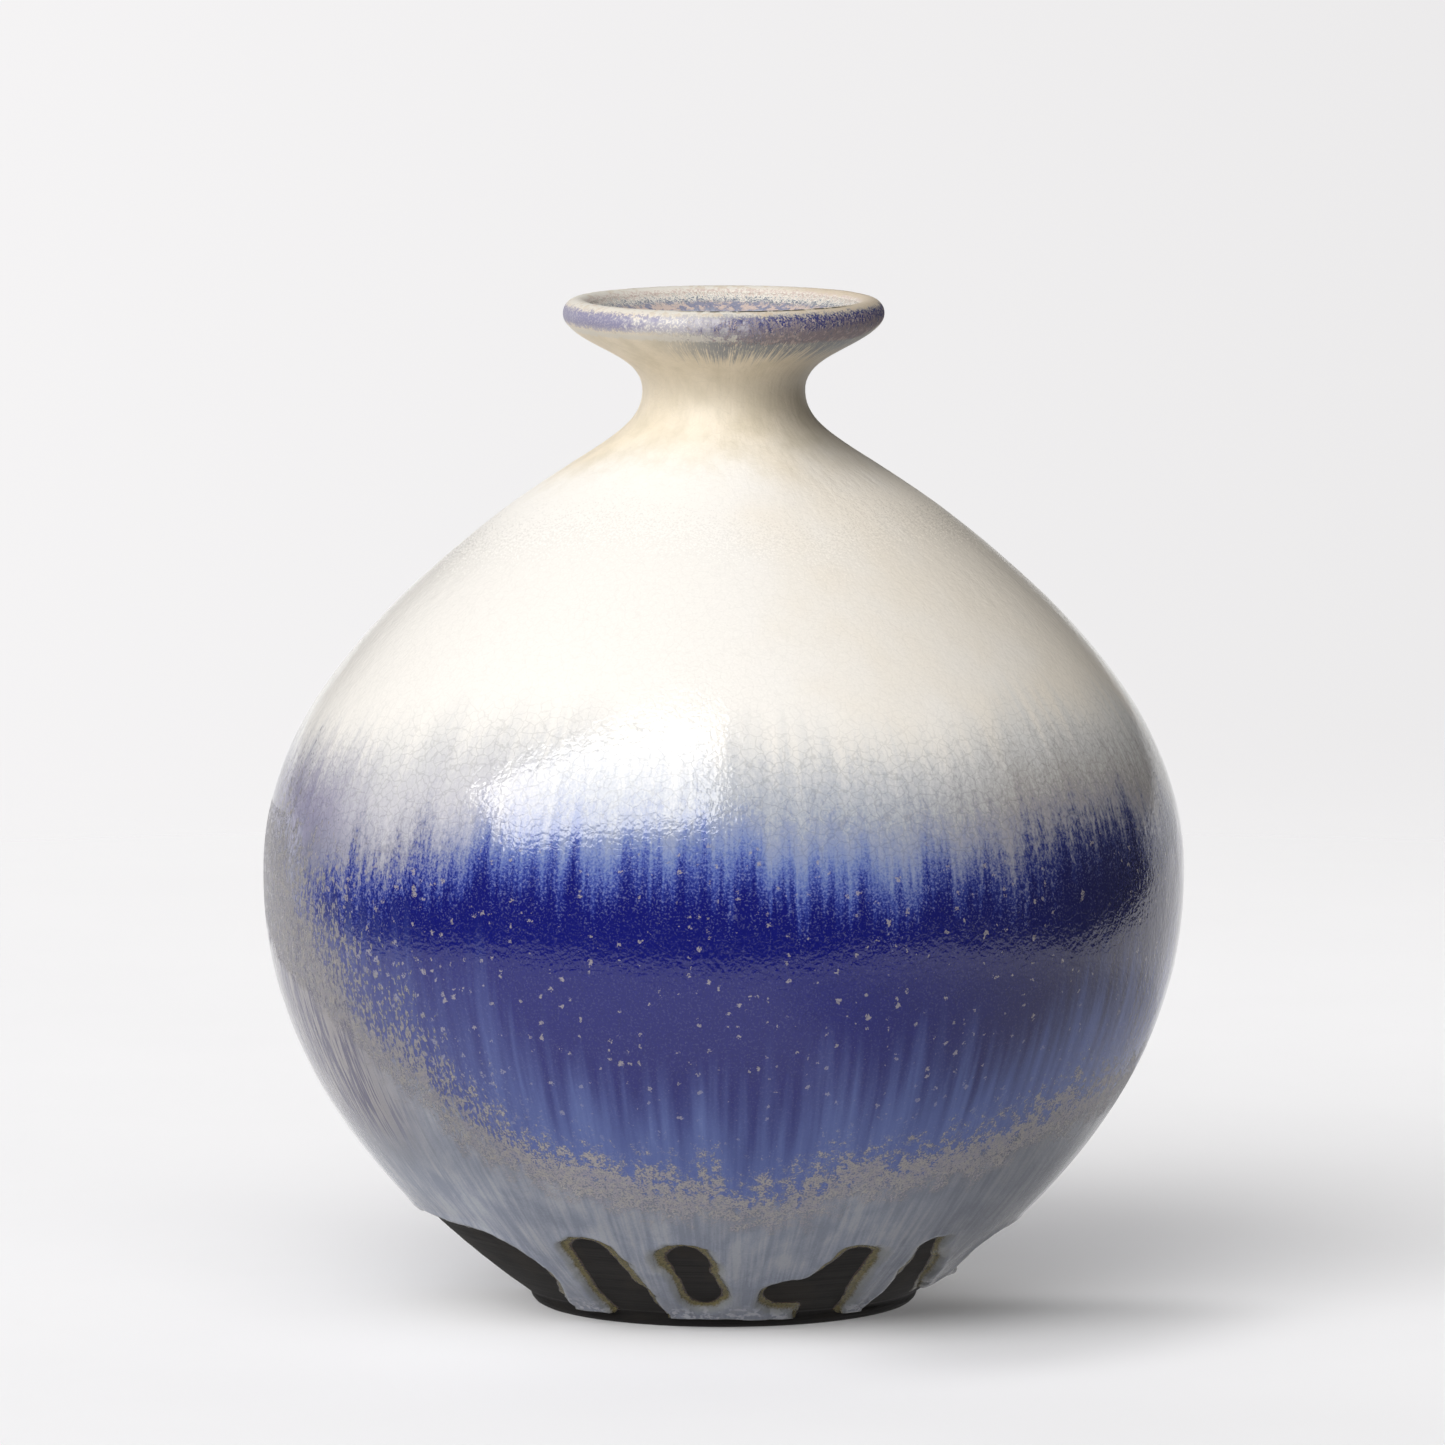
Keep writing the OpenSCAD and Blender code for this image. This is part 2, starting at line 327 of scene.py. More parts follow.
low_rows = rows_between(0.0, s_fine, 0.65)
mid_rows = rows_between(s_fine, s_runs, 1.2)[1:]
cobalt_rows = rows_between(s_runs, s_cobalt, 1.0)[1:]
cream_rows = rows_between(s_cobalt, s_cream, 1.55)[1:]
lip_rows = rows_between(s_cream, RIM_END_S, 0.55)[1:]
skin_s = np.concatenate([low_rows, mid_rows, cobalt_rows, cream_rows, lip_rows])
row_runs = len(low_rows) + len(mid_rows) - 1
row_cobalt = row_runs + len(cobalt_rows)
row_cream = row_cobalt + len(cream_rows)
row_end = len(skin_s) - 1

SKIN_PHI, SKIN_S = np.meshgrid(PHI, skin_s)
skin_h = glaze_height(SKIN_PHI, SKIN_S)
skin = grid_points(skin_s, skin_h)
skin_n = grid_normals(skin)
skin_low = line_distance(LOW_LINE, SKIN_PHI, SKIN_S)
skin_high = line_distance(HIGH_LINE, SKIN_PHI, SKIN_S)
# The vase's skin rolled onto a cylinder: the patterns of the running glaze lie on it.
FLOW_R = 100.0
skin_flow = ring(FLOW_R, SKIN_S, SKIN_PHI)
SINK = 0.06


def coat(name, first, last, material, step):
    """A closed coat of glaze from one row of the skin to another, its back just under the clay's face."""
    front = skin[first:last + 1]
    s_back = rows_between(skin_s[first], skin_s[last], step)[::-1]
    back = grid_points(s_back, np.full((len(s_back), COLUMNS), -SINK))
    verts, faces = closed_loop([front, back], COLUMNS)
    back_s = np.repeat(s_back[:, None], COLUMNS, 1)
    zeros = np.zeros(back.shape[:2])

    def both(a, b):
        return np.concatenate([a[first:last + 1].reshape(-1), b.reshape(-1)])

    back_n = -grid_normals(back[::-1])[::-1]
    normals = np.concatenate([skin_n[first:last + 1].reshape(-1, 3), back_n.reshape(-1, 3)])
    flow = np.concatenate([skin_flow[first:last + 1].reshape(-1, 3),
                           np.dstack([zeros, zeros, back_s]).reshape(-1, 3)])
    floats = {"low": both(skin_low, zeros), "high": both(skin_high, zeros), "run": both(SKIN_S, back_s)}
    return add_mesh(name, verts, faces, material, normals, floats, {"flow": flow})


# ---- node materials
class Nodes:
    """Short names for the nodes of one material or world."""

    def __init__(self, tree):
        self.tree = tree
        tree.nodes.clear()

    def new(self, kind):
        return self.tree.nodes.new("ShaderNode" + kind)

    def vector_math(self, op):
        node = self.new("VectorMath")
        node.operation = op
        return node

    def feed(self, socket, value):
        """Links another socket to this one, or sets its value."""
        if isinstance(value, bpy.types.NodeSocket):
            self.tree.links.new(value, socket)
        elif value is not None:
            socket.default_value = value

    def value(self, op, a, b=None, c=None, clamp=False):
        node = self.new("Math")
        node.operation = op
        node.use_clamp = clamp
        for socket, v in zip(node.inputs, (a, b, c)):
            self.feed(socket, v)
        return node.outputs[0]

    def add(self, *terms):
        total = terms[0]
        for term in terms[1:]:
            total = self.value("ADD", total, term)
        return total

    def times(self, *terms):
        total = terms[0]
        for term in terms[1:]:
            total = self.value("MULTIPLY", total, term)
        return total

    def fit(self, x, slope, start):
        """The straight line slope * x + start."""
        return self.value("MULTIPLY_ADD", x, slope, start)

    def rest(self, x):
        """What x leaves of one."""
        return self.value("SUBTRACT", 1.0, x)

    def step(self, x, low, high, a=0.0, b=1.0, kind="SMOOTHSTEP"):
        """a at low, b at high, smooth between; low may be the larger."""
        node = self.new("MapRange")
        node.interpolation_type = kind
        if low > high:
            low, high, a, b = high, low, b, a
        self.feed(node.inputs["Value"], x)
        for key, v in (("From Min", low), ("From Max", high), ("To Min", a), ("To Max", b)):
            node.inputs[key].default_value = v
        return node.outputs["Result"]

    def split(self, vector):
        """The X, Y and Z of a vector."""
        node = self.new("SeparateXYZ")
        self.feed(node.inputs[0], vector)
        return node.outputs[0], node.outputs[1], node.outputs[2]

    def noise(self, vector, scale=1.0, detail=2.0, roughness=0.5, out="Fac"):
        node = self.new("TexNoise")
        self.feed(node.inputs["Vector"], vector)
        node.inputs["Scale"].default_value = scale
        node.inputs["Detail"].default_value = detail
        node.inputs["Roughness"].default_value = roughness
        return node.outputs[out]

    def mix(self, amount, a, b):
        """Colour a going to colour b."""
        node = self.new("Mix")
        node.data_type = "RGBA"
        self.feed(node.inputs["Factor"], amount)
        for socket, v in ((node.inputs[6], a), (node.inputs[7], b)):
            self.feed(socket, (*v, 1.0) if isinstance(v, tuple) else v)
        return node.outputs[2]

    def ray(self, kind):
        """1 for one kind of ray, else 0."""
        return self.new("LightPath").outputs["Is " + kind + " Ray"]

    def blend(self, amount, a, b):
        """Shader a going to shader b."""
        node = self.new("MixShader")
        for socket, v in zip(node.inputs, (amount, a, b)):
            self.feed(socket, v)
        return node.outputs[0]

    def source(self, kind, colour, strength):
        """A shader that gives light, such as an emission or a background."""
        node = self.new(kind)
        node.inputs["Color"].default_value = (*colour, 1)
        self.feed(node.inputs["Strength"], strength)
        return node.outputs[0]


class Look(Nodes):
    """A procedural material: a Principled shader and the places and patterns that feed it."""

    def __init__(self, name):
        self.material = bpy.data.materials.new(name)
        self.material.use_nodes = True
        super().__init__(self.material.node_tree)
        self.shader = self.new("BsdfPrincipled")
        self.feed(self.new("OutputMaterial").inputs["Surface"], self.shader.outputs["BSDF"])
        self.place = self.scaled(self.new("TexCoord").outputs["Object"], (1 / MM, 1 / MM, 1 / MM))

    def around(self):
        """Azimuth round the vase in degrees, zero at the front."""
        x, y, _ = self.split(self.place)
        return self.times(self.value("ARCTAN2", x, self.times(y, -1.0)), 180.0 / math.pi)

    def scaled(self, vector, by):
        node = self.vector_math("MULTIPLY")
        self.feed(node.inputs[0], vector)
        node.inputs[1].default_value = by
        return node.outputs[0]

    def moved(self, vector, by, amount):
        """The vector pushed about by a colour noise."""
        push = self.vector_math("MULTIPLY_ADD")
        self.feed(push.inputs[0], by)
        push.inputs[1].default_value = (amount,) * 3
        self.feed(push.inputs[2], vector)
        return push.outputs[0]

    def swing(self, noise, amount):
        """A 0..1 noise as a number that swings by amount either side of zero."""
        return self.fit(noise, 2.0 * amount, -amount)

    def mark(self, name, kind="Fac"):
        """An attribute that the mesh carries."""
        node = self.new("Attribute")
        node.attribute_name = name
        return node.outputs[kind]

    def cells(self, vector, scale, feature="F1"):
        node = self.new("TexVoronoi")
        node.feature = feature
        self.feed(node.inputs["Vector"], vector)
        node.inputs["Scale"].default_value = scale
        return node

    def red(self, colour):
        node = self.new("SeparateColor")
        self.feed(node.inputs[0], colour)
        return node.outputs[0]

    def mix_value(self, amount, a, b):
        """Number a going to number b."""
        node = self.new("Mix")
        self.feed(node.inputs["Factor"], amount)
        self.feed(node.inputs[2], a)
        self.feed(node.inputs[3], b)
        return node.outputs[0]

    def shade(self, colour, amount):
        """The colour multiplied by a number."""
        node = self.vector_math("SCALE")
        self.feed(node.inputs[0], colour)
        self.feed(node.inputs["Scale"], amount)
        return node.outputs[0]

    def bump(self, height, distance, below=None, strength=1.0):
        node = self.new("Bump")
        node.inputs["Strength"].default_value = strength
        node.inputs["Distance"].default_value = distance * MM
        self.feed(node.inputs["Height"], height)
        self.feed(node.inputs["Normal"], below)
        return node.outputs["Normal"]

    def finish(self, colour, roughness, normal, specular):
        self.feed(self.shader.inputs["Base Color"], colour)
        self.feed(self.shader.inputs["Roughness"], roughness)
        self.feed(self.shader.inputs["Normal"], normal)
        self.shader.inputs["IOR"].default_value = 1.5
        self.shader.inputs["Specular IOR Level"].default_value = specular
        return self.material


# Fired colours, as linear reflectance.
CREAM = (0.82, 0.787, 0.74)
CREAM_WARM = (0.8, 0.735, 0.64)
CREAM_NECK = (0.8, 0.705, 0.555)
CREAM_PALE = (0.63, 0.625, 0.615)
WASH = (0.34, 0.365, 0.43)
WASH_PALE = (0.52, 0.51, 0.545)
WASH_WARM = (0.345, 0.322, 0.305)
LILAC_GREY = (0.265, 0.25, 0.345)
SKY = (0.15, 0.205, 0.43)
SKY_GREY = (0.235, 0.24, 0.32)
MID_BLUE = (0.042, 0.065, 0.31)
COBALT = (0.007, 0.009, 0.135)
# Not a fired colour: a darker, greyer blue painted as shade on the cobalt at the right.
COBALT_IN_PAINTED_SHADE = (0.02, 0.021, 0.05)
LOW_BLUE = (0.1, 0.14, 0.355)
CRYSTAL = (0.3, 0.275, 0.31)
CRYSTAL_WARM = (0.37, 0.335, 0.31)
RUN = (0.25, 0.268, 0.32)
RUN_DARK = (0.155, 0.172, 0.225)
RUN_PALE = (0.36, 0.368, 0.392)
FLANK = (0.26, 0.242, 0.25)
FLANK_VIOLET = (0.075, 0.07, 0.13)
OCHRE = (0.15, 0.12, 0.04)
OLIVE = (0.09, 0.078, 0.03)
BROWN = (0.035, 0.018, 0.01)
VIOLET = (0.262, 0.246, 0.362)
LAVENDER = (0.5, 0.47, 0.51)
PINK_TAN = (0.56, 0.45, 0.4)
PINK_GREY = (0.29, 0.235, 0.24)
NECK_OLIVE = (0.56, 0.49, 0.35)
LIP_COBALT = (0.01, 0.018, 0.15)
LIP_WASH = (0.155, 0.18, 0.225)
LIP_CREAM = (0.7, 0.66, 0.59)
LIP_TAN = (0.56, 0.45, 0.32)
LIP_OLIVE = (0.045, 0.042, 0.02)
RUN_MILKY = (0.44, 0.45, 0.5)
RUN_OLIVE = (0.2, 0.2, 0.17)
SLIP_DARK = (0.016, 0.014, 0.013)
SLIP_PALE = (0.03, 0.026, 0.024)
# dark clay, its paler streaks, its rusty patches and the grains in it
CLAY = (0.012, 0.0105, 0.01), (0.024, 0.0215, 0.02), (0.03, 0.024, 0.019), (0.07, 0.062, 0.055)


class Glaze(Look):
    """What the zones of the glazed skin share: where a point is on the vase, and the noises."""

    def __init__(self, name):
        super().__init__(name)
        self.flow = self.mark("flow", "Vector")
        self.low, self.high = self.mark("low"), self.mark("high")
        self.azimuth, self.run = self.around(), self.mark("run")
        self.wide = self.flowing(0.11, 0.012)
        self.streak = self.flowing(0.36, 0.022, 2.5)
        self.hair = self.flowing(1.3, 0.1)
        self.fleck = self.flowing(1.25, 0.55, 2.5, 0.62)
        self.rill = self.flowing(0.55, 0.045, 2.5, 0.6)
        self.grain = self.noise(self.place, 1.9, detail=2, roughness=0.6)
        self.clump = self.noise(self.place, 0.52, detail=2, roughness=0.6)
        self.cloud = self.noise(self.place, 0.035, detail=2)
        self.lump = self.noise(self.place, 0.21, detail=3.5, roughness=0.68)
        self.noises = {"wide": self.wide, "streak": self.streak, "hair": self.hair, "fleck": self.fleck,
                       "grain": self.grain, "clump": self.clump, "cloud": self.cloud, "lump": self.lump}
        self.front = self.step(self.value("ABSOLUTE", self.azimuth), 172, 130)
        self.left = self.times(self.turned(-20, -44), self.front)
        self.flank = self.times(self.turned(-42, -60), self.turned(-126, -100))
        self.cool = self.times(self.turned(-46, -24), self.turned(46, 14))
        self.ragged = self.add(self.shaken(self.high, wide=9, streak=10, hair=5, grain=4),
                               self.times(self.rest(self.cool), self.swing(self.fleck, 12)))

    def flowing(self, across, down, detail=2, roughness=0.5):
        """Noise drawn out down the vase: its scale across and down."""
        return self.noise(self.scaled(self.flow, (across, across, down)), detail=detail, roughness=roughness)

    def shaken(self, place, **amounts):
        """A place on the vase, moved either way by amounts of the named noises."""
        return self.add(place, *(self.swing(self.noises[name], by) for name, by in amounts.items()))

    def turned(self, a, b):
        """0 at azimuth a, 1 at b."""
        return self.step(self.azimuth, a, b)

    def rise(self, z0, z1):
        """0 where the clay is at height z0, 1 where it is at z1."""
        return self.step(self.run, float(s_of(z0)), float(s_of(z1)))


def upper_glaze(k):
    """Cream at the shoulder, through a grey-blue wash, to the streaked top of the cobalt."""
    tan_side = k.times(k.step(k.shaken(k.azimuth, cloud=50), 0, 60), k.front)
    colour = k.mix(tan_side, CREAM, CREAM_WARM)
    colour = k.mix(k.step(k.shaken(k.high, cloud=12), 108, 134), colour, CREAM_NECK)
    pale = k.step(k.shaken(k.high, streak=8, wide=12), 38, 14)
    colour = k.mix(pale, colour, CREAM_PALE)
    lilac = k.times(k.turned(-46, -66), k.front)
    pale_side = k.times(k.turned(-14, -36), k.front)
    wash = k.mix(pale_side, k.mix(k.cool, WASH_WARM, WASH), WASH_PALE)
    wash = k.mix(lilac, wash, LILAC_GREY)
    mist = k.shaken(k.high, streak=7, fleck=10, grain=5)
    colour = k.mix(k.step(k.add(mist, k.times(lilac, -5)), 29, 4), colour, wash)
    veil = k.shaken(k.high, wide=8, streak=6, fleck=8, grain=5)
    sky = k.mix(k.cool, SKY_GREY, SKY)
    colour = k.mix(k.times(k.step(veil, 12, 1), 0.46), colour, sky)
    colour = k.mix(k.step(k.ragged, 5, -5), colour, sky)
    outer = k.times(k.turned(-58, -72), k.turned(-122, -104))
    deeper = k.add(k.ragged, k.times(outer, 12), k.swing(k.grain, 4.5))
    colour = k.mix(k.step(deeper, 0, -11), colour, MID_BLUE)
    colour = k.mix(k.step(deeper, -5, -16), colour, COBALT)
    # Painted shade: the cobalt at the right, away from the light, is mixed towards a darker, greyer blue.
    painted_shade_right = k.times(k.turned(12, 60), k.front, k.step(k.ragged, 4, -8))
    return k.mix(k.times(painted_shade_right, 0.7), colour, COBALT_IN_PAINTED_SHADE)


def blue_spots(k, colour):
    """Pale grit and ring-shaped spots in the blue."""
    depth = k.step(k.ragged, 2, -5)
    grit = k.times(k.step(k.grain, 0.52, 0.68), depth)
    colour = k.mix(k.times(grit, k.fit(k.step(k.ragged, -24, -8), 0.26, 0.1)), colour, SKY_GREY)
    spots = k.cells(k.moved(k.place, k.noise(k.place, 1.4, 1, out="Color"), 1.8), 0.42)
    dense = k.times(k.turned(-18, -50), k.front)
    size = k.add(k.fit(k.red(spots.outputs["Color"]), 0.54, -0.255), k.times(dense, 0.12))
    reach = k.value("SUBTRACT", spots.outputs["Distance"], size)
    spot = k.times(k.step(reach, 0.04, -0.05), k.step(k.grain, 0.34, 0.46), depth)
    hollow = k.step(spots.outputs["Distance"], 0.11, 0.03)
    return k.mix(k.times(spot, k.fit(hollow, -0.4, 0.68)), colour, CRYSTAL_WARM)


def pale_streaks(k, colour):
    """Paler streaks at the lower end of the cobalt."""
    fade = k.shaken(k.low, streak=22, wide=18)
    paler = k.times(k.step(fade, 42, 4), k.step(k.ragged, -8, -20), k.fit(k.left, -0.55, 0.85))
    colour = k.mix(paler, colour, LOW_BLUE)
    return k.mix(k.times(k.step(k.hair, 0.42, 0.66), paler, k.step(fade, 26, 2), 0.3), colour, SKY)


def run_glaze(k):
    """The grey-blue glaze that ran down: milky threads, and violet ones at the left."""
    drift = k.noise(k.place, 0.05, 1, out="Color")
    milk = k.noise(k.moved(k.scaled(k.place, (0.12, 0.12, 0.06)), drift, 2))
    thread = k.add(k.times(k.rill, 0.5), k.times(milk, 0.4), k.times(k.grain, 0.1))
    colour = k.mix(k.times(k.step(thread, 0.52, 0.4), 0.6), RUN, RUN_DARK)
    colour = k.mix(k.times(k.step(thread, 0.49, 0.61), 0.6), colour, RUN_PALE)
    # Painted light and shade: the lower runs at the front left are painted lighter and those at the right
    # painted darker.
    bright = k.times(k.turned(-30, -52), k.rise(46, 34), 0.35)
    bright = k.add(bright, k.times(k.turned(22, 56), -0.3))
    colour = k.shade(colour, k.fit(bright, k.front, 1))
    side = k.mix(k.step(k.shaken(k.rill, hair=0.35), 0.44, 0.58), FLANK, FLANK_VIOLET)
    return k.mix(k.times(k.flank, k.rise(40, 58)), colour, side)


def crust(k, colour):
    """The runs, and over their top a granular crust of crystals that thins out upwards."""
    along = k.shaken(k.low, lump=18, wide=9, streak=7)
    along = k.value("DIVIDE", along, k.fit(k.left, 10, 11))
    speck = k.add(k.times(k.grain, 0.55), k.times(k.clump, 0.45))
    filled = k.value("MINIMUM", k.times(along, -0.19), k.fit(k.left, -0.235, 0.26))
    cover = k.add(filled, k.mix_value(k.left, speck, k.fleck))
    halo = k.times(k.step(cover, 0.33, 0.44), k.fit(k.left, -0.75, 1), 0.5)
    colour = k.mix(halo, colour, k.mix(k.step(k.clump, 0.4, 0.6), SKY, SKY_GREY))
    grains = k.mix(k.step(k.clump, 0.4, 0.62), CRYSTAL, CRYSTAL_WARM)
    grains = k.mix(k.times(k.step(k.grain, 0.54, 0.4), 0.75), grains, RUN_DARK)
    grains = k.shade(grains, k.fit(k.left, -0.24, 1))
    deep = k.times(k.left, k.rise(72, 98), 20)
    end = k.add(k.low, deep, k.swing(k.lump, 11), k.swing(k.grain, 6), k.swing(k.wide, 6))
    above = k.rest(k.step(end, -3, -13))
    colour = k.mix(k.step(k.shaken(k.low, streak=6), 1, -5), colour, run_glaze(k))
    crystals = k.times(k.step(cover, 0.425, 0.485), above)
    gaps = k.times(k.flank, above, k.step(along, 1, -0.4), k.step(k.rill, 0.36, 0.5))
    colour = k.mix(k.times(gaps, 0.7), colour, FLANK_VIOLET)
    return k.mix(k.times(crystals, 0.92), colour, grains), crystals


def crackled(k, colour):
    """Fine crackle, clearest in the pale glaze: the colour with it, and its lines."""
    crack = k.cells(k.moved(k.place, k.noise(k.place, 0.5, 1, out="Color"), 1.6), 0.36, "DISTANCE_TO_EDGE")
    lines = k.step(crack.outputs["Distance"], 0.07, 0.01)
    crazed = k.times(k.step(k.high, -12, 2), k.step(k.high, 40, 20))
    colour = k.shade(colour, k.fit(k.times(lines, k.fit(crazed, 0.13, 0.03)), -1, 1))
    return k.shade(colour, k.fit(k.grain, 0.14, 0.93)), lines


def neck_wash(k, colour, q):
    """The mottled neck, with painted shade at its right, and the wash that has run down it from the rim."""
    drawn = k.noise(k.scaled(k.place, (0.17, 0.17, 0.05)), detail=3, roughness=0.6)
    drawn = k.times(k.step(k.shaken(drawn, grain=0.05), 0.34, 0.74), k.step(k.high, 100, 128))
    colour = k.mix(k.times(drawn, 0.45), colour, NECK_OLIVE)
    # Painted shade: the neck's colour is darkened towards its right, away from the light.
    dim = k.times(k.turned(10, 70), k.step(k.high, 96, 122), k.front)
    colour = k.shade(colour, k.fit(dim, -0.34, 1))
    washed = k.step(k.shaken(q, hair=9, streak=9), -14, -5)
    washed = k.times(washed, k.turned(-34, 2), k.turned(96, 60))
    washed = k.times(washed, k.step(k.shaken(k.fleck, hair=0.3), 0.26, 0.5), 0.85)
    return k.mix(washed, colour, LIP_WASH)


def lip_band(k, right, q):
    """Colour of the band round the rim: violet at the left and back, rosy with cobalt at the right."""
    centre = k.times(k.step(k.shaken(k.azimuth, clump=24), -40, -22), k.rest(right))
    far = k.step(k.value("ABSOLUTE", k.azimuth), 100, 150)
    speckle = k.step(k.shaken(k.grain, clump=0.15), 0.5, 0.6)
    violet = k.mix(k.times(speckle, 0.5), VIOLET, LAVENDER)
    violet = k.mix(k.times(centre, k.fit(speckle, 0.55, 0.4)), violet, LIP_CREAM)
    upper = k.step(k.shaken(q, clump=2.5), 0, 2.4)
    inky = k.times(k.step(k.shaken(k.grain, hair=0.15), 0.56, 0.49), k.fit(upper, 0.8, 0.15))
    rosy = k.mix(k.times(k.step(k.clump, 0.5, 0.62), 0.7), PINK_GREY, PINK_TAN)
    rosy = k.mix(k.times(k.step(k.shaken(k.fleck, clump=0.2), 0.54, 0.64), 0.7), rosy, LIP_WASH)
    return k.mix(k.times(right, k.rest(far)), violet, k.mix(inky, rosy, LIP_COBALT))


def rim(k, colour):
    """The neck and the rim above it, and how crusty the rim is."""
    turn = k.value("SUBTRACT", k.run, float(FLARE_S))
    q = k.shaken(turn, clump=1, grain=1.3)
    colour = neck_wash(k, colour, q)
    ridge = k.times(k.step(q, -2.4, -1.6), k.step(q, 0.2, -0.5), k.turned(26, 6), k.front)
    colour = k.mix(k.times(ridge, 0.75), colour, LIP_CREAM)
    right = k.step(k.shaken(k.azimuth, clump=34, grain=24), -14, 20)
    low_edge = k.fit(k.times(right, k.turned(84, 60)), -3.6, 0.5)
    banded = k.times(k.step(k.value("SUBTRACT", q, low_edge), -0.7, 0.5), k.step(q, 4.2, 2.8))
    colour = k.mix(banded, colour, lip_band(k, right, q))
    tanned = k.times(k.step(k.shaken(k.azimuth, clump=40), -10, 40), k.front, 0.75)
    crest = k.mix(tanned, LIP_CREAM, LIP_TAN)
    crest = k.mix(k.times(k.step(k.clump, 0.5, 0.64), 0.5), crest, LIP_TAN)
    colour = k.mix(k.step(q, 3.2, 4.4), colour, crest)
    seam = k.times(k.step(turn, 4.9, 5.1), k.step(turn, 5.9, 5.7), k.step(k.clump, 0.4, 0.48))
    seam = k.times(seam, k.turned(-22, -4), k.turned(64, 44))
    colour = k.mix(seam, colour, LIP_OLIVE)
    inner = k.mix(k.step(k.grain, 0.42, 0.58), LIP_CREAM, PINK_TAN)
    return k.mix(k.step(q, 7.2, 8), colour, inner), k.times(banded, right, k.front)


def mouth(k):
    """The glaze inside, from the speckled edge of the mouth down to a plain wash."""
    down = k.add(k.value("SUBTRACT", k.run, float(RIM_END_S)), k.swing(k.clump, 1.6), k.swing(k.grain, 1.2))
    colour = k.mix(k.step(k.grain, 0.42, 0.58), LIP_CREAM, PINK_TAN)
    speckle = k.mix(k.step(k.shaken(k.grain, hair=0.25), 0.42, 0.54), LIP_WASH, LIP_CREAM)
    colour = k.mix(k.step(k.shaken(down, hair=4), 0.6, 1.6), colour, speckle)
    rosy = k.mix(k.step(k.shaken(k.clump, grain=0.2), 0.45, 0.58), PINK_TAN, SKY_GREY)
    colour = k.mix(k.step(k.shaken(down, hair=3), 2.6, 4.2), colour, rosy)
    colour = k.mix(k.step(down, 5.5, 8), colour, k.mix(k.step(k.streak, 0.4, 0.6), WASH, SKY_GREY))
    return colour, k.times(k.step(down, 0, 0.9), k.step(down, 7, 4))


def window_edges(k, colour, crusty):
    """The ochre bands round the clay windows and the milky ends of the runs."""
    z = k.mark("height")
    thin = k.add(k.mark("edge"), k.swing(k.grain, 0.35))
    colour = k.mix(k.times(k.step(z, 15, 5), 0.55), colour, RUN_DARK)
    milky = k.times(k.step(z, 8.5, 3.5), k.step(k.clump, 0.47, 0.6))
    colour = k.mix(k.times(milky, 0.8), colour, RUN_MILKY)
    colour = k.mix(k.times(k.step(thin, 3.4, 1.4), 0.55), colour, RUN_OLIVE)
    ochre = k.mix(k.step(k.shaken(k.grain, clump=0.2), 0.42, 0.58), OLIVE, OCHRE)
    colour = k.mix(k.step(thin, 1.5, 0.9), colour, ochre)
    colour = k.mix(k.step(thin, 0.42, 0.15), colour, BROWN)
    return colour, k.add(crusty, k.times(k.step(thin, 1.2, 0.8), 0.6), k.times(milky, 0.4))


def glossed(k, colour, lines, crusty):
    """Gloss with a faint orange peel, broken by the crystals and drier towards the neck."""
    normal = k.bump(k.noise(k.place, 0.85, detail=1.5), 0.12, strength=0.7)
    normal = k.bump(k.flowing(1.1, 0.35), 0.05, normal, strength=0.6)
    normal = k.bump(lines, -0.02, normal, strength=0.5)
    normal = k.bump(k.add(k.times(crusty, k.grain), k.times(crusty, 0.5)), 0.22, normal, strength=0.8)
    satin = k.step(k.shaken(k.high, cloud=30), 28, 85)
    dry = k.step(k.shaken(k.high, grain=34), 82, 112)
    rough = k.add(k.fit(k.grain, 0.06, 0.03), k.times(satin, 0.16), k.times(dry, 0.32))
    rough = k.value("MULTIPLY_ADD", crusty, 0.28, rough, clamp=True)
    return k.finish(colour, rough, normal, 0.55)


def glaze(name, foot=False, lip=False, inside=False):
    """The one glazed skin of the vase, with the zones that a coat takes part in."""
    k = Glaze(name)
    colour, crusty = crust(k, pale_streaks(k, blue_spots(k, upper_glaze(k))))
    colour, lines = crackled(k, colour)
    if lip:
        colour, crusty = rim(k, colour)
    if inside:
        colour, crusty = mouth(k)
    if foot:
        colour, crusty = window_edges(k, colour, crusty)
    return glossed(k, colour, lines, crusty)


def clay(name, tint_and_shade=1):
    """Bare dark stoneware: matt, lightly gritty, with turning lines round it."""
    k = Look(name)
    lines = k.noise(k.scaled(k.place, (0.02, 0.02, 2.4)), detail=3, roughness=0.65)
    broad = k.noise(k.scaled(k.place, (0.05, 0.05, 0.5)), detail=2)
    grit = k.noise(k.place, 2.6, detail=3, roughness=0.7)
    patch = k.noise(k.place, 0.1, detail=2)
    dark, pale, rusty, grains = (tuple(tint_and_shade * v for v in colour) for colour in CLAY)
    colour = k.mix(k.step(lines, 0.35, 0.65), dark, pale)
    colour = k.mix(k.times(k.step(patch, 0.45, 0.65), 0.5), colour, rusty)
    colour = k.mix(k.times(k.step(grit, 0.63, 0.74), 0.5), colour, grains)
    normal = k.bump(lines, 0.08, strength=0.7)
    normal = k.bump(grit, 0.05, normal, strength=0.6)
    return k.finish(colour, k.fit(k.add(grit, broad), 0.16, 0.52), normal, 0.22)


def slip(name):
    """Slip squeezed from a joint: smoother and a little paler than the clay."""
    k = Look(name)
    smear = k.noise(k.scaled(k.place, (0.25, 0.25, 1.6)), detail=3)
    grit = k.noise(k.place, 3, detail=2)
    colour = k.mix(k.step(smear, 0.35, 0.65), SLIP_DARK, SLIP_PALE)
    return k.finish(colour, k.fit(grit, 0.2, 0.55), k.bump(smear, 0.05, strength=0.6), 0.35)


clay_look = clay("bare_clay_look")
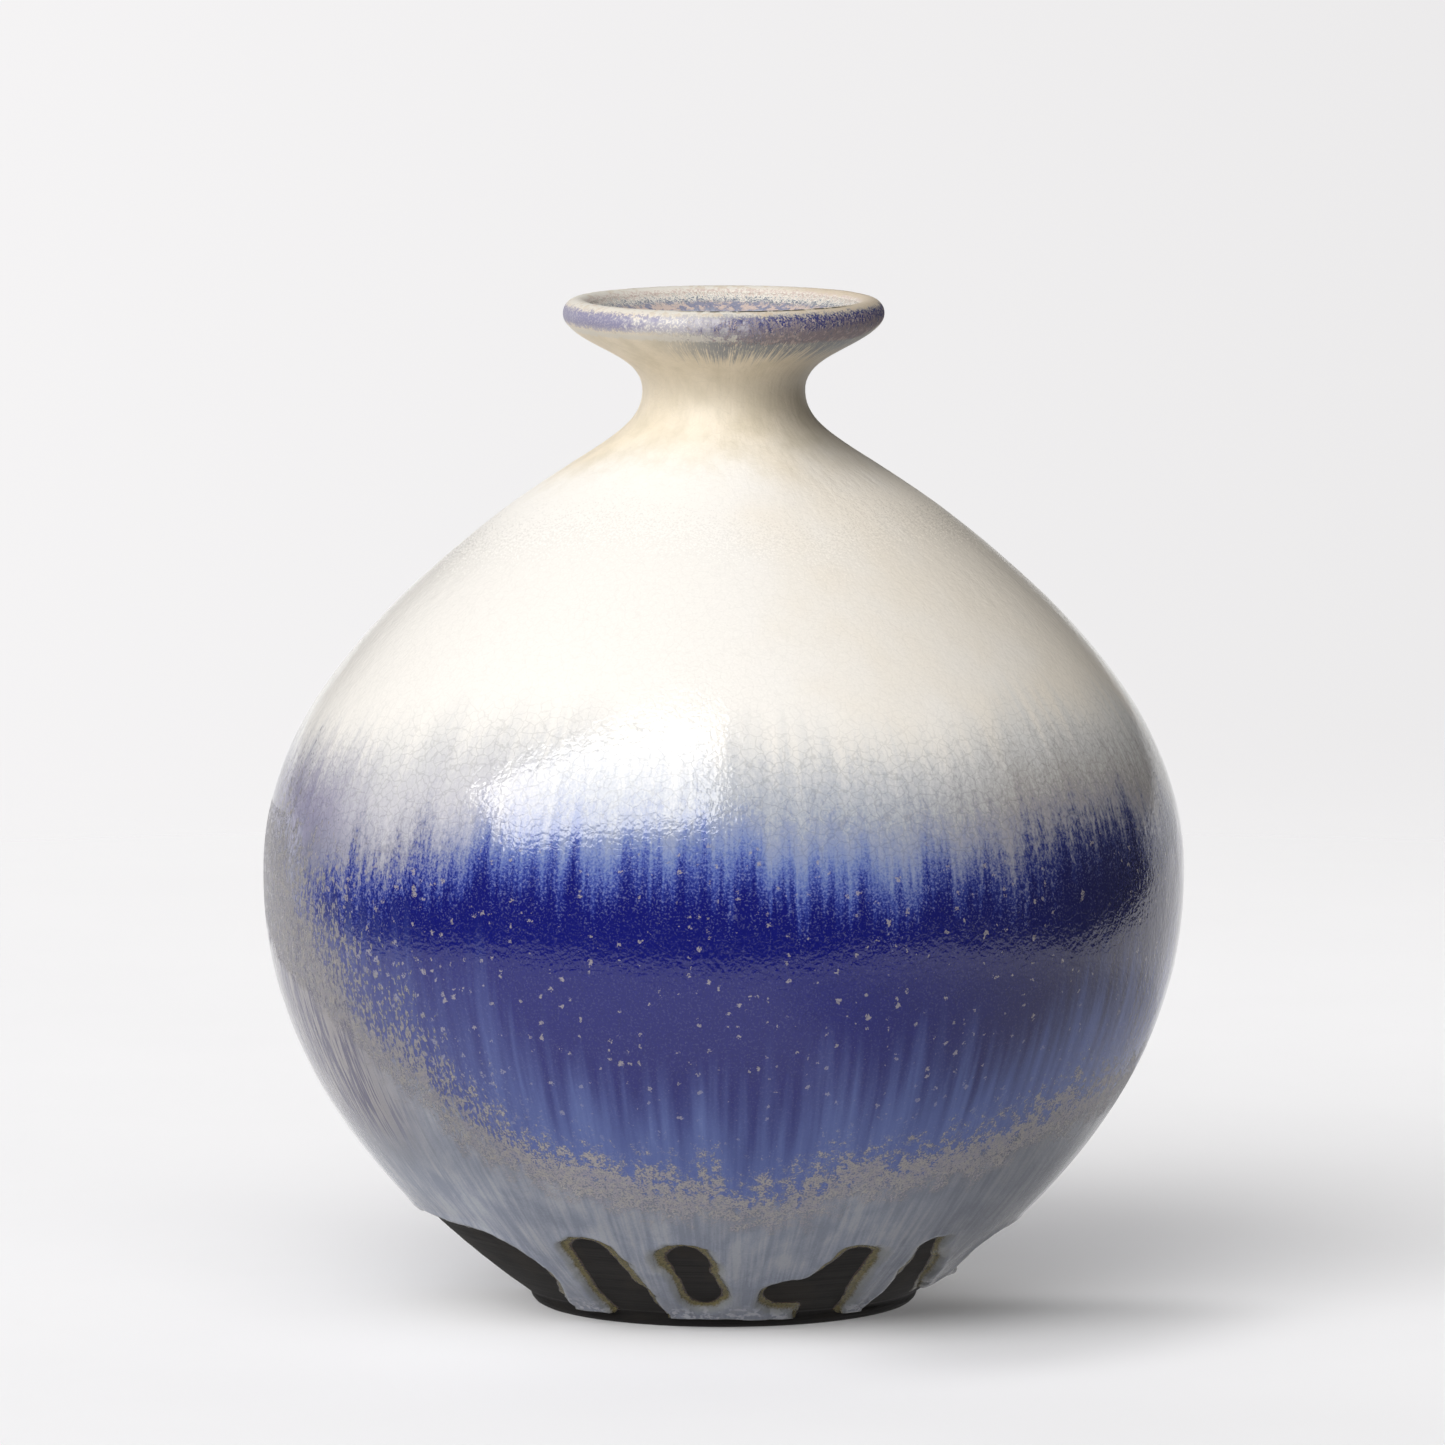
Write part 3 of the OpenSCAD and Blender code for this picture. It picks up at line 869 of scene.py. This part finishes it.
# The foot's clay at 0.62 of the rest is partly darker clay and partly painted shade at the foot.
foot_look = clay("foot_clay_look", 0.62)
slip_look = slip("slip_look")
runs_look = glaze("foot_glaze_look", foot=True)
cobalt_look = glaze("cobalt_glaze_look")
cream_look = glaze("cream_glaze_look", lip=True)
lip_look = glaze("lip_glaze_look", lip=True)
liner_look = glaze("liner_glaze_look", inside=True)

# ---- glaze pieces
cream_coat = coat("cream_glaze_coat", row_cobalt, row_cream, cream_look, 6.0)
cobalt_coat = coat("cobalt_glaze_coat", row_runs, row_cobalt, cobalt_look, 6.0)
lip_coat = coat("lip_glaze_coat", row_cream, row_end, lip_look, 1.2)


def run_coat():
    """The glaze above the foot: runs and beads round open windows, closed at the back."""
    rows = row_runs + 1
    front = skin[:rows]
    h = skin_h[:rows]
    back = grid_points(skin_s[:rows], np.minimum(-0.08, h - 0.15))
    d = np.minimum(window_distance(SKIN_PHI[:rows], SKIN_S[:rows]),
                   foot_edge_distance(SKIN_PHI[:rows], SKIN_S[:rows]) * 1.4)
    ring_max = np.maximum(d, np.roll(d, -1, axis=1))
    kept = np.maximum(ring_max[:-1], ring_max[1:]) > -0.45
    n = COLUMNS
    index = np.arange(rows * n).reshape(rows, n)
    right = np.roll(index, -1, axis=1)
    a, b, c, e = index[:-1], right[:-1], right[1:], index[1:]
    offset = rows * n
    full = int(np.argmax([kept[i:].all() for i in range(rows - 1)]))
    stride = list(range(full, rows - 1, 4)) + [rows - 1]
    part = kept.copy()
    part[full:] = False
    faces = [np.stack([a, b, c, e], axis=-1)[kept],
             np.stack([e, c, b, a], axis=-1)[part] + offset]
    for i, j in zip(stride[:-1], stride[1:]):
        faces.append(np.stack([index[j], right[j], right[i], index[i]], axis=-1) + offset)
    none = np.zeros((1, n), bool)
    above = np.vstack([kept[1:], none])
    below = np.vstack([none, kept[:-1]])
    left_of = np.roll(kept, 1, axis=1)
    right_of = np.roll(kept, -1, axis=1)
    rims = ((b, a, kept & ~below), (e, c, kept & ~above), (a, e, kept & ~left_of), (c, b, kept & ~right_of))
    for p, q, edge in rims:
        p, q = p[edge], q[edge]
        faces.append(np.stack([p, q, q + offset, p + offset], axis=-1))
    faces = np.concatenate(faces)
    verts = np.concatenate([front.reshape(-1, 3), back.reshape(-1, 3)])
    used, faces = np.unique(faces, return_inverse=True)
    faces = faces.reshape(-1, 4)
    back_n = -grid_normals(back)
    normals = np.concatenate([skin_n[:rows].reshape(-1, 3), back_n.reshape(-1, 3)])[used]

    def twice(values):
        flat = values[:rows].reshape(-1, *values.shape[2:])
        return np.concatenate([flat, flat])[used]

    w = band_width(SKIN_PHI, SKIN_S)
    foot_d = foot_edge_distance(SKIN_PHI, SKIN_S)
    edge_mark = window_distance(SKIN_PHI, SKIN_S)
    edge_mark = np.where(edge_mark < w, edge_mark / w, 1 + edge_mark - w)
    edge_mark = np.minimum(edge_mark, foot_d + 0.9)
    floats = {"low": twice(skin_low), "high": twice(skin_high), "edge": twice(edge_mark),
              "run": twice(SKIN_S), "height": twice(skin[:, :, 2])}
    vectors = {"flow": twice(skin_flow)}
    return add_mesh("foot_glaze_runs", verts[used], faces, runs_look, normals, floats, vectors)


foot_runs = run_coat()


def inner_point(s, extra):
    """Inside face of the clay wall opposite arc length s, moved extra into the cavity."""
    by = at(s, 4) + extra
    return at(s, 0) - by * at(s, 2), at(s, 1) - by * at(s, 3)


LINER_T = 0.8
FLOOR_Z = RECESS_H + SLIP_T / 2 + FLOOR_T
dense_in_z = inner_point(S[:OUTER + 1], 0)[1]
s_floor = float(np.interp(FLOOR_Z + 4, dense_in_z, S[:OUTER + 1]))


def liner_coat():
    """The glaze inside, from the lip's edge down the neck and the belly to the floor."""
    n = COLUMNS // 2
    phi = PHI[::2]
    s_neck = s_of(205.0)
    s_down = np.concatenate([rows_between(FLARE_S, s_neck, 0.8), rows_between(s_neck, s_floor, 2.6)[1:]])
    grid_phi, grid_s = np.meshgrid(phi, s_down)
    relief = 0.05 * lattice(grid_phi, grid_s, 60, 9, 41) + 0.03 * np.sin(grid_s / 3.4)
    relief = relief * smooth(FLARE_S - grid_s, 0, 6)
    r, z = inner_point(grid_s, LINER_T + relief)
    r_end, z_end = r[-1].mean(), z[-1].mean()
    t = np.linspace(0, 1, 9)[1:, None]
    flat_z = FLOOR_Z + LINER_T
    r_bend = (1 - t) ** 2 * r_end + 2 * t * (1 - t) * (r_end - 6.0) + t * t * (r_end - 15)
    z_bend = (1 - t) ** 2 * z_end + 2 * t * (1 - t) * flat_z + t * t * flat_z
    r_flat = np.linspace(r_end - 15, 0.8, 24)[1:, None]
    r_all = np.vstack([r, np.repeat(r_bend, n, 1), np.repeat(r_flat, n, 1)])
    z_all = np.vstack([z, np.repeat(z_bend, n, 1), np.repeat(0 * r_flat + flat_z, n, 1)])
    cavity = np.stack([ring(r_all[i], z_all[i], phi) for i in range(len(r_all))])
    cavity[0] = skin[row_end][::2]
    s_up = rows_between(s_floor, FLARE_S, 5.0)
    rb, zb = inner_point(s_up, -SINK)
    rb = np.concatenate([[0.8, 12, 24, rb[0] - 14, rb[0] - 7], rb])
    zb = np.concatenate([[FLOOR_Z - SINK] * 4, [FLOOR_Z + 0.94], zb])
    back = np.stack([ring(rb[i], zb[i], phi) for i in range(len(rb))])
    rows = np.concatenate([back, cavity])
    verts, faces = capped(rows, n)
    normals = np.concatenate([grid_normals(back), grid_normals(cavity)])
    normals[len(back)] = skin_n[row_end][::2]
    normals = np.concatenate([normals.reshape(-1, 3), [[0, 0, -1], [0, 0, 1]]])
    depth = np.cumsum(np.linalg.norm(np.diff(cavity[:, 0], axis=0), axis=1))
    depth = np.concatenate([[0], depth]) + RIM_END_S
    run_mark = np.concatenate([np.zeros(len(back)), depth])
    run_mark = np.concatenate([np.repeat(run_mark, n), [0, depth[-1]]])
    flow = np.concatenate([ring(FLOW_R, d, phi) for d in np.concatenate([np.zeros(len(back)), depth])])
    flow = np.concatenate([flow, [[0, 0, 0], [0, 0, depth[-1]]]])
    floats = {"run": run_mark, "low": run_mark * 0 + 60, "high": run_mark * 0 + 60}
    return add_mesh("liner_glaze_coat", verts, faces, liner_look, normals, floats, {"flow": flow})


liner = liner_coat()


# ---- clay pieces
SHARP = 35


def turning(phi, s):
    """Relief of the turning lines on the bare clay."""
    drift = s + 0.5 * lattice(phi, s * 0, 9, 1, 51)
    fine = 0.030 * lattice(phi * 0, drift, 3, 0.8, 52) + 0.022 * lattice(phi * 0, drift, 3, 2.1, 53)
    return fine + 0.016 * lattice(phi, s, 260, 1.1, 54)


def bowl():
    """The lower clay body under and between the runs, with the stepped joint at the belly."""
    z_low = RECESS_H + SLIP_T / 2
    s_low, s_seen, s_top = s_of(z_low), s_of(31.0), s_of(BELLY[1] - SLIP_T / 2)
    s_out = np.concatenate([rows_between(s_low, s_seen, 0.60), rows_between(s_seen, s_top, 5.0)[1:]])
    grid_phi, grid_s = np.meshgrid(PHI, s_out)
    outer = grid_points(s_out, turning(grid_phi, grid_s) * smooth(s_seen + 2 - grid_s, 0, 4))
    under_r = np.linspace(1.0, at(s_low, 0), 12)[:-1]
    under = np.stack([ring(r, z_low, PHI) for r in under_r])
    step_r = BELLY_JOINT_R - SLIP_T / 2
    step_z = BELLY[1] + JOINT_STEP - SLIP_T / 2
    joint = np.stack([ring(step_r, BELLY[1] - SLIP_T / 2, PHI), ring(step_r, step_z, PHI)])
    s_inner = float(np.interp(step_z, dense_in_z, S[:OUTER + 1]))
    ri, zi = inner_point(np.linspace(s_inner, s_floor, 20), 0)
    ri = np.concatenate([ri, [ri[-1] - 7, ri[-1] - 14, 20, 1.0]])
    zi = np.concatenate([zi, [FLOOR_Z + 1, FLOOR_Z, FLOOR_Z, FLOOR_Z]])
    inner = np.stack([ring(ri[i], zi[i], PHI) for i in range(len(ri))])
    verts, faces = capped(np.concatenate([under, outer, joint, inner]), COLUMNS)
    obj = add_mesh("lower_bowl_turned", verts, faces, clay_look)
    obj.data.set_sharp_from_angle(angle=math.radians(SHARP))
    return obj


def foot():
    """The foot ring: a bevel rounded by turning and wiping, worn a little unevenly where it stands."""
    top_z = RECESS_H - SLIP_T / 2
    path = [(at(s_of(top_z), 0), top_z), (FOOT_TOP[0] + 0.15, FOOT_TOP[1] + 0.1)]
    centre = FOOT_TOP - [FOOT_H, 0]
    path += [tuple(centre + polar(FOOT_H, a)) for a in np.linspace(-4, -90, 26)]
    path += [(r, 0.0) for r in np.linspace(44, RECESS_R + 1.0, 6)]
    path += [tuple(np.array([RECESS_R + 0.8, 0.8]) + polar(0.8, a)) for a in (-112, -135, -158, -180)]
    path += [(RECESS_R, 2.4), (RECESS_R, top_z), (38, top_z), (44, top_z)]
    path = np.array(path)[::-1]
    rows = []
    for i, (r, z) in enumerate(path):
        wear = 0.10 * lattice(PHI, PHI * 0 + i * 0.25, 46, 1.0, 61)
        wear = wear + 0.05 * lattice(PHI, PHI * 0 + i, 160, 1.0, 62)
        on_bevel = 1.0 if r > 44.5 and 0.05 < z < 3.6 else 0.0
        rows.append(ring(r + (wear - 0.10) * on_bevel, np.maximum(z + 0 * wear, 0.0), PHI))
    verts, faces = closed_loop([np.stack(rows)[::-1]], COLUMNS)
    obj = add_mesh("foot_ring_turned", verts, faces[:, ::-1], foot_look)
    obj.data.set_sharp_from_angle(angle=math.radians(SHARP))
    return obj


bowl_piece = bowl()
foot_piece = foot()

for piece, node in ((foot_piece, "foot_ring"), (bowl_piece, "lower_bowl"), (liner, "liner_glaze"),
                    (lip_coat, "lip_glaze"), (cream_coat, "cream_glaze"), (cobalt_coat, "cobalt_glaze"),
                    (foot_runs, "foot_glaze")):
    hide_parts(node)
    node if node.endswith("_glaze") else "bare_clay"

for node, look in (("foot_slip_seam", slip_look), ("belly_slip_seam", slip_look),
                   ("neck_slip_seam", slip_look), ("shoulder_dome", clay_look), ("neck_collar", clay_look)):
    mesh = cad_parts[node].data
    mesh.materials.clear()
    mesh.materials.append(look)

# ---- studio
scene = bpy.context.scene
WHITE = (1.0, 1.0, 1.0)
BACKDROP = 0.868
FLOOR_LIFT = 0.21
TABLE_R = 1.6
TABLE_SIDE, TABLE_FRONT = 0.53, 0.465
TABLE_TONES = (0.66, 0.655, 0.66), (0.70, 0.695, 0.70)
# Soft lights round the vase: azimuth and height in degrees, and strength in the middle.
FILL = [(-30, 35, 4.3), (-60, 35, 1.8), (0, 35, 0.9), (20, 62, 0.6), (45, 35, 0.3), (0, 62, 0.7),
        (-150, 8, 3.5), (150, 35, 0.7)]
FILL_SPREAD = 0.829
AIM_HEIGHT = 0.125
CAMERA_AWAY = 3.625
CAMERA_ELEVATION = 7.07
CAMERA_LIFT = 0.301
CAMERA_YAW = 0.005
LENS = 364.4969


def towards(azimuth, height):
    """Unit vector in a direction given by azimuth and height in degrees."""
    a, e = math.radians(azimuth), math.radians(height)
    return Vector((math.sin(a) * math.cos(e), -math.cos(a) * math.cos(e), math.sin(e)))


def studio_world():
    """Pale to the camera; for reflections and fill, bright behind the vase and dim in front of it."""
    world = bpy.data.worlds.new("studio")
    scene.world = world
    world.use_nodes = True
    k = Nodes(world.node_tree)
    way = k.new("TexCoord").outputs["Generated"]
    x, y, z = k.split(way)

    def lobe(azimuth, height, strength):
        """Light from about one direction."""
        dot = k.vector_math("DOT_PRODUCT")
        k.feed(dot.inputs[0], way)
        dot.inputs[1].default_value = towards(azimuth, height)
        return k.step(dot.outputs["Value"], FILL_SPREAD, 1.0, 0.0, strength)

    fill = k.source("Background", WHITE, k.add(*(lobe(*light) for light in FILL)))
    low_and_behind = k.times(k.step(z, 0.02, 0.08, 1.0, 0.0), k.step(y, 0.66, 0.72, 0.0, 0.80))
    mirror = k.source("Background", WHITE, k.add(low_and_behind, k.step(y, 0.0, 0.5, 0.02, 0.05)))
    tone = k.step(x, -0.05, 0.05, BACKDROP + 0.045, BACKDROP - 0.03, "LINEAR")
    seen = k.source("Background", (1.0, 0.988, 0.994), tone)
    surface = k.blend(k.ray("Camera"), k.blend(k.ray("Glossy"), fill, mirror), seen)
    k.feed(k.new("OutputWorld").inputs["Surface"], surface)


def softbox(name, corner, across, up, radiance, colour):
    """A soft panel of one radiance: a corner, the vector along its lower edge and the vector up it."""
    corner, across, up = Vector(corner), Vector(across), Vector(up)
    data = bpy.data.lights.new(name, "AREA")
    data.shape = "RECTANGLE"
    data.size, data.size_y = across.length, up.length
    data.color = colour
    data.energy = radiance * math.pi * across.length * up.length
    obj = bpy.data.objects.new(name, data)
    scene.collection.objects.link(obj)
    x = across.normalized()
    z = x.cross(up.normalized()).normalized()
    y = z.cross(x)
    rot = [[x[i], y[i], z[i]] for i in range(3)]
    centre = corner + across / 2 + up / 2
    obj.matrix_world = Matrix([rot[i] + [centre[i]] for i in range(3)] + [[0, 0, 0, 1]])
    obj.visible_camera = False
    obj.visible_diffuse = False


def floor_look():
    """A pale table: it takes the light and the shadow near the vase, has more shadow painted by the foot,
    and fades into the backdrop.
    """
    material = bpy.data.materials.new("table_look")
    material.use_nodes = True
    k = Nodes(material.node_tree)
    place = k.new("TexCoord").outputs["Object"]
    length = k.vector_math("LENGTH")
    k.feed(length.inputs[0], place)
    away = length.outputs["Value"]
    x, y, _ = k.split(place)
    clear = k.new("BsdfTransparent").outputs[0]

    # Seen directly: a matt table with a lift, less of it by the foot to paint a shadow there.
    matt = k.new("BsdfDiffuse")
    k.feed(matt.inputs["Color"], k.mix(k.noise(place, 9.0, 5.0), *TABLE_TONES))
    # Painted shadow: at the foot's right front the lift is cut back.
    painted_contact_shadow = k.times(k.step(x, 0.0, 0.08), k.step(away, 0.165, 0.095), k.step(y, 0.02, -0.03))
    lift = k.times(k.ray("Camera"), k.step(painted_contact_shadow, 0.0, 1.0, FLOOR_LIFT, 0.15 * FLOOR_LIFT))
    both = k.new("AddShader")
    k.feed(both.inputs[0], matt.outputs[0])
    k.feed(both.inputs[1], k.source("Emission", (1.0, 0.99, 0.995), lift))
    near = k.blend(k.step(away, 0.42, 1.25), both.outputs[0], clear)

    # In reflections: a glowing top with rounded corners, painted darker by the foot and with a painted
    # shadow to the right, which ends where the table does.
    # Painted shadow to the right of the vase and painted shade close round the foot, on the glow that
    # reflections see.
    shadow = k.times(k.step(x, 0.02, 0.14), k.step(away, 0.50, 0.25))
    painted_foot_shade = k.step(away, 0.06, 0.20, 0.40, 0.98)
    glow = k.source("Emission", (1.0, 0.99, 1.0), k.times(painted_foot_shade, k.step(shadow, 0.0, 1.0, 1.0, 0.62)))
    aside = k.value("ABSOLUTE", k.times(x, 1.0 / TABLE_SIDE))
    aside = k.value("SUBTRACT", aside, k.value("MAXIMUM", k.times(y, 0.7), 0.0))
    ahead = k.value("MAXIMUM", k.times(y, -1.0 / TABLE_FRONT), 0.0)
    edge = k.add(k.value("POWER", k.value("MAXIMUM", aside, 0.0), 3.0), k.value("POWER", ahead, 3.0))
    glowing_top = k.blend(k.step(edge, 0.96, 1.06), glow, clear)
    k.feed(k.new("OutputMaterial").inputs["Surface"], k.blend(k.ray("Glossy"), near, glowing_top))
    return material


def table():
    """A round table top on the floor, under the vase."""
    corners = 128
    turns = np.arange(corners) * 2 * np.pi / corners
    verts = [(TABLE_R * math.cos(v), TABLE_R * math.sin(v), 0.0) for v in turns]
    mesh = bpy.data.meshes.new("table")
    mesh.from_pydata(verts, [], [tuple(range(corners))])
    mesh.materials.append(floor_look())
    obj = bpy.data.objects.new("table", mesh)
    scene.collection.objects.link(obj)


def photo_camera():
    """The camera stands 14.5 heights away, a little above level, and looks just above the middle."""
    data = bpy.data.cameras.new("camera")
    camera = bpy.data.objects.new("camera", data)
    scene.collection.objects.link(camera)
    elevation = math.radians(CAMERA_ELEVATION)
    away = Vector((0, -math.cos(elevation), math.sin(elevation)))
    camera.location = Vector((0, 0, AIM_HEIGHT)) + CAMERA_AWAY * away
    tilt = math.pi / 2 - elevation + math.radians(CAMERA_LIFT)
    camera.rotation_euler = (tilt, 0, math.radians(CAMERA_YAW))
    data.sensor_width = 36.0
    data.lens = LENS
    data.clip_end = 50
    scene.camera = camera


studio_world()
table()
softbox("key_softbox", (-2.2, -1.5, 1.0), (2.15, 0, 0), (0, 0.85, 0.5), 7.8, (1.0, 0.985, 0.965))
photo_camera()
scene.view_settings.view_transform = "Standard"
